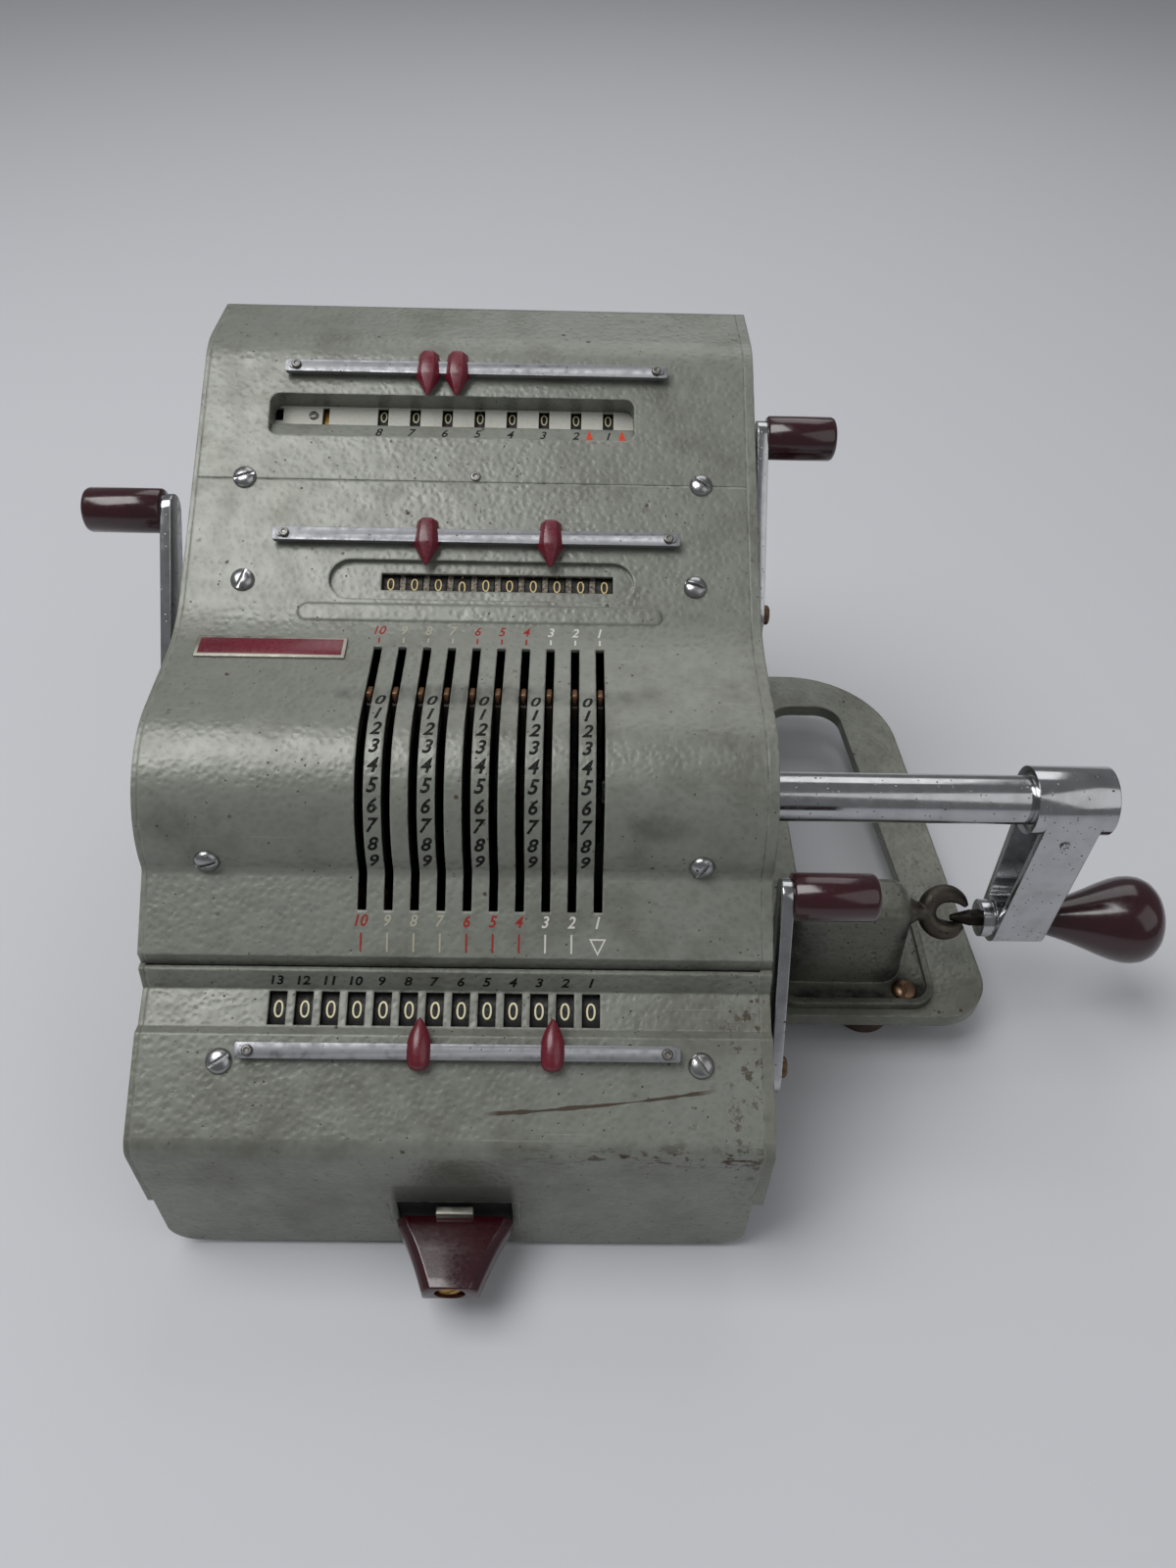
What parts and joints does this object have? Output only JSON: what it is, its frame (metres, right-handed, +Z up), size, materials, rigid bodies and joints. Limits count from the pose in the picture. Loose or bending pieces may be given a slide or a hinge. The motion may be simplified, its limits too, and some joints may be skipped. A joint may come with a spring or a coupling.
{
  "type": "pinwheel calculator",
  "caption": "Hand-cranked desk calculator: setting levers in slots over a drum, number windows, shifting carriage, clearing levers and a crank with a resting post.",
  "frame": {"origin": "on the table under the feet, at the middle of the whole part's outline", "axes": "+X to the crank side, along the drum and every register shaft; +Y to the rear; +Z up"},
  "size_m": [0.334, 0.2588, 0.1785],
  "materials": {
    "grey_paint": "hammertone grey-green enamel, semi-gloss",
    "base_paint": "hammertone grey-green enamel on casting, worn",
    "chrome": "polished with light pitting",
    "steel": "turned and stamped steel, satin",
    "brass": "dull brass",
    "maroon": "moulded maroon plastic, glossy",
    "black_wheel": "black number wheels",
    "light_plate": "light grey painted plate",
    "rubber": "dull rubber"
  },
  "bodies": {
    "base": {"base_casting": "base_paint", "rubber_feet": "rubber", "crank_rest": "base_paint", "crank_catch": "steel", "rear_cover": "grey_paint", "front_cover": "grey_paint", "side_plate_left": "grey_paint", "side_plate_right": "grey_paint", "counter_plate": "light_plate", "marker_rails": "steel", "bearing_frames": "steel", "cross_shafts": "steel", "guide_rail": "steel"},
    "crank": {"crank_shaft": "chrome", "pinwheels": "steel", "setting_pins": "steel", "crank_arm": "chrome"},
    "lock_pin": {"lock_pin": "steel"},
    "crank_knob": {"crank_knob": "maroon"},
    "transfer_gears": {"transfer_gears": "brass"},
    "carriage": {"carriage_frame": "base_paint", "carriage_cover": "grey_paint", "carriage_marker_rail": "steel"},
    "result_wheels": {"result_wheels": "black_wheel"},
    "counter_wheels": {"counter_wheels": "black_wheel"},
    "left_lever": {"left_lever_arm": "chrome", "left_lever_grip": "maroon"},
    "counter_lever": {"counter_lever_arm": "chrome", "counter_lever_grip": "maroon"},
    "result_lever": {"result_lever_arm": "chrome", "result_lever_grip": "maroon"},
    "shift_knob": {"shift_knob": "maroon"},
    "setting_lever_01": {"setting_lever_01": "brass"},
    "control_wheel_01": {"control_wheel_01": "black_wheel"},
    "setting_lever_02": {"setting_lever_02": "brass"},
    "control_wheel_02": {"control_wheel_02": "black_wheel"},
    "setting_lever_03": {"setting_lever_03": "brass"},
    "control_wheel_03": {"control_wheel_03": "black_wheel"},
    "setting_lever_04": {"setting_lever_04": "brass"},
    "control_wheel_04": {"control_wheel_04": "black_wheel"},
    "setting_lever_05": {"setting_lever_05": "brass"},
    "control_wheel_05": {"control_wheel_05": "black_wheel"},
    "setting_lever_06": {"setting_lever_06": "brass"},
    "control_wheel_06": {"control_wheel_06": "black_wheel"},
    "setting_lever_07": {"setting_lever_07": "brass"},
    "control_wheel_07": {"control_wheel_07": "black_wheel"},
    "setting_lever_08": {"setting_lever_08": "brass"},
    "control_wheel_08": {"control_wheel_08": "black_wheel"},
    "setting_lever_09": {"setting_lever_09": "brass"},
    "control_wheel_09": {"control_wheel_09": "black_wheel"},
    "setting_lever_10": {"setting_lever_10": "brass"},
    "control_wheel_10": {"control_wheel_10": "black_wheel"},
    "counter_marker_1": {"counter_marker_1": "maroon"},
    "counter_marker_2": {"counter_marker_2": "maroon"},
    "setting_marker_1": {"setting_marker_1": "maroon"},
    "setting_marker_2": {"setting_marker_2": "maroon"},
    "result_marker_1": {"result_marker_1": "maroon"},
    "result_marker_2": {"result_marker_2": "maroon"}
  },
  "joints": [
    {"name": "crank_turn", "type": "hinge", "parent": "base", "child": "crank", "pos_m": [-0.053, -0.01915, 0.098], "axis": [1, 0, 0], "continuous": true},
    {"name": "knob_pull", "type": "slide", "parent": "crank", "child": "lock_pin", "axis": [1, 0, 0], "range_m": [0, 0.005], "stiffness_N_per_m": 300},
    {"name": "knob_spin", "type": "hinge", "parent": "lock_pin", "child": "crank_knob", "pos_m": [0.147, -0.01915, 0.044], "axis": [1, 0, 0], "continuous": true},
    {"name": "transfer_turn", "type": "hinge", "parent": "base", "child": "transfer_gears", "pos_m": [-0.053, -0.04007, 0.05883], "axis": [1, 0, 0], "continuous": true},
    {"name": "carriage_shift", "type": "slide", "parent": "base", "child": "carriage", "axis": [1, 0, 0], "range_m": [0, 0.049]},
    {"name": "result_clear", "type": "hinge", "parent": "carriage", "child": "result_lever", "pos_m": [0.033, -0.07785, 0.04896], "axis": [1, 0, 0], "range_deg": [0, 75]},
    {"name": "result_turn", "type": "hinge", "parent": "carriage", "child": "result_wheels", "pos_m": [-0.053, -0.06946, 0.05965], "axis": [1, 0, 0], "range_deg": [0, 330]},
    {"name": "counter_clear", "type": "hinge", "parent": "base", "child": "counter_lever", "pos_m": [0.033, 0.03935, 0.1191], "axis": [1, 0, 0], "range_deg": [0, 75]},
    {"name": "counter_turn", "type": "hinge", "parent": "base", "child": "counter_wheels", "pos_m": [-0.053, 0.08784, 0.15222], "axis": [1, 0, 0], "range_deg": [0, 330]},
    {"name": "setting_clear", "type": "hinge", "parent": "base", "child": "left_lever", "pos_m": [-0.139, 0.01385, 0.1054], "axis": [1, 0, 0], "range_deg": [0, 60]},
    {"name": "shift_rock", "type": "hinge", "parent": "carriage", "child": "shift_knob", "pos_m": [-0.053, -0.103, 0.022], "axis": [0, 0, 1], "range_deg": [-12, 12], "stiffness_Nm_per_rad": 0.05},
    {"name": "set_digit_01", "type": "hinge", "parent": "crank", "child": "setting_lever_01", "pos_m": [-0.053, -0.01915, 0.098], "axis": [1, 0, 0], "range_deg": [0, 90]},
    {"name": "control_turn_01", "type": "hinge", "parent": "base", "child": "control_wheel_01", "pos_m": [-0.053, 0.03488, 0.12729], "axis": [1, 0, 0], "range_deg": [0, 330]},
    {"name": "set_digit_02", "type": "hinge", "parent": "crank", "child": "setting_lever_02", "pos_m": [-0.053, -0.01915, 0.098], "axis": [1, 0, 0], "range_deg": [0, 90]},
    {"name": "control_turn_02", "type": "hinge", "parent": "base", "child": "control_wheel_02", "pos_m": [-0.053, 0.03488, 0.12729], "axis": [1, 0, 0], "range_deg": [0, 330]},
    {"name": "set_digit_03", "type": "hinge", "parent": "crank", "child": "setting_lever_03", "pos_m": [-0.053, -0.01915, 0.098], "axis": [1, 0, 0], "range_deg": [0, 90]},
    {"name": "control_turn_03", "type": "hinge", "parent": "base", "child": "control_wheel_03", "pos_m": [-0.053, 0.03488, 0.12729], "axis": [1, 0, 0], "range_deg": [0, 330]},
    {"name": "set_digit_04", "type": "hinge", "parent": "crank", "child": "setting_lever_04", "pos_m": [-0.053, -0.01915, 0.098], "axis": [1, 0, 0], "range_deg": [0, 90]},
    {"name": "control_turn_04", "type": "hinge", "parent": "base", "child": "control_wheel_04", "pos_m": [-0.053, 0.03488, 0.12729], "axis": [1, 0, 0], "range_deg": [0, 330]},
    {"name": "set_digit_05", "type": "hinge", "parent": "crank", "child": "setting_lever_05", "pos_m": [-0.053, -0.01915, 0.098], "axis": [1, 0, 0], "range_deg": [0, 90]},
    {"name": "control_turn_05", "type": "hinge", "parent": "base", "child": "control_wheel_05", "pos_m": [-0.053, 0.03488, 0.12729], "axis": [1, 0, 0], "range_deg": [0, 330]},
    {"name": "set_digit_06", "type": "hinge", "parent": "crank", "child": "setting_lever_06", "pos_m": [-0.053, -0.01915, 0.098], "axis": [1, 0, 0], "range_deg": [0, 90]},
    {"name": "control_turn_06", "type": "hinge", "parent": "base", "child": "control_wheel_06", "pos_m": [-0.053, 0.03488, 0.12729], "axis": [1, 0, 0], "range_deg": [0, 330]},
    {"name": "set_digit_07", "type": "hinge", "parent": "crank", "child": "setting_lever_07", "pos_m": [-0.053, -0.01915, 0.098], "axis": [1, 0, 0], "range_deg": [0, 90]},
    {"name": "control_turn_07", "type": "hinge", "parent": "base", "child": "control_wheel_07", "pos_m": [-0.053, 0.03488, 0.12729], "axis": [1, 0, 0], "range_deg": [0, 330]},
    {"name": "set_digit_08", "type": "hinge", "parent": "crank", "child": "setting_lever_08", "pos_m": [-0.053, -0.01915, 0.098], "axis": [1, 0, 0], "range_deg": [0, 90]},
    {"name": "control_turn_08", "type": "hinge", "parent": "base", "child": "control_wheel_08", "pos_m": [-0.053, 0.03488, 0.12729], "axis": [1, 0, 0], "range_deg": [0, 330]},
    {"name": "set_digit_09", "type": "hinge", "parent": "crank", "child": "setting_lever_09", "pos_m": [-0.053, -0.01915, 0.098], "axis": [1, 0, 0], "range_deg": [0, 90]},
    {"name": "control_turn_09", "type": "hinge", "parent": "base", "child": "control_wheel_09", "pos_m": [-0.053, 0.03488, 0.12729], "axis": [1, 0, 0], "range_deg": [0, 330]},
    {"name": "set_digit_10", "type": "hinge", "parent": "crank", "child": "setting_lever_10", "pos_m": [-0.053, -0.01915, 0.098], "axis": [1, 0, 0], "range_deg": [0, 90]},
    {"name": "control_turn_10", "type": "hinge", "parent": "base", "child": "control_wheel_10", "pos_m": [-0.053, 0.03488, 0.12729], "axis": [1, 0, 0], "range_deg": [0, 330]},
    {"name": "counter_marker_slide_1", "type": "slide", "parent": "base", "child": "counter_marker_1", "axis": [1, 0, 0], "range_m": [-0.0362, 0.0019]},
    {"name": "counter_marker_slide_2", "type": "slide", "parent": "base", "child": "counter_marker_2", "axis": [1, 0, 0], "range_m": [-0.0019, 0.057]},
    {"name": "setting_marker_slide_1", "type": "slide", "parent": "base", "child": "setting_marker_1", "axis": [1, 0, 0], "range_m": [-0.0378, 0.0293]},
    {"name": "setting_marker_slide_2", "type": "slide", "parent": "base", "child": "setting_marker_2", "axis": [1, 0, 0], "range_m": [-0.0293, 0.0308]},
    {"name": "result_marker_slide_1", "type": "slide", "parent": "carriage", "child": "result_marker_1", "axis": [1, 0, 0], "range_m": [-0.0407, 0.0281]},
    {"name": "result_marker_slide_2", "type": "slide", "parent": "carriage", "child": "result_marker_2", "axis": [1, 0, 0], "range_m": [-0.0281, 0.0263]}
  ],
  "couplings": [
    {"joint": "result_turn", "follows": "result_clear", "ratio": 4.32},
    {"joint": "counter_turn", "follows": "counter_clear", "ratio": 4.32},
    {"joint": "control_turn_01", "follows": "set_digit_01", "ratio": 3.6},
    {"joint": "control_turn_02", "follows": "set_digit_02", "ratio": 3.6},
    {"joint": "control_turn_03", "follows": "set_digit_03", "ratio": 3.6},
    {"joint": "control_turn_04", "follows": "set_digit_04", "ratio": 3.6},
    {"joint": "control_turn_05", "follows": "set_digit_05", "ratio": 3.6},
    {"joint": "control_turn_06", "follows": "set_digit_06", "ratio": 3.6},
    {"joint": "control_turn_07", "follows": "set_digit_07", "ratio": 3.6},
    {"joint": "control_turn_08", "follows": "set_digit_08", "ratio": 3.6},
    {"joint": "control_turn_09", "follows": "set_digit_09", "ratio": 3.6},
    {"joint": "control_turn_10", "follows": "set_digit_10", "ratio": 3.6}
  ]
}
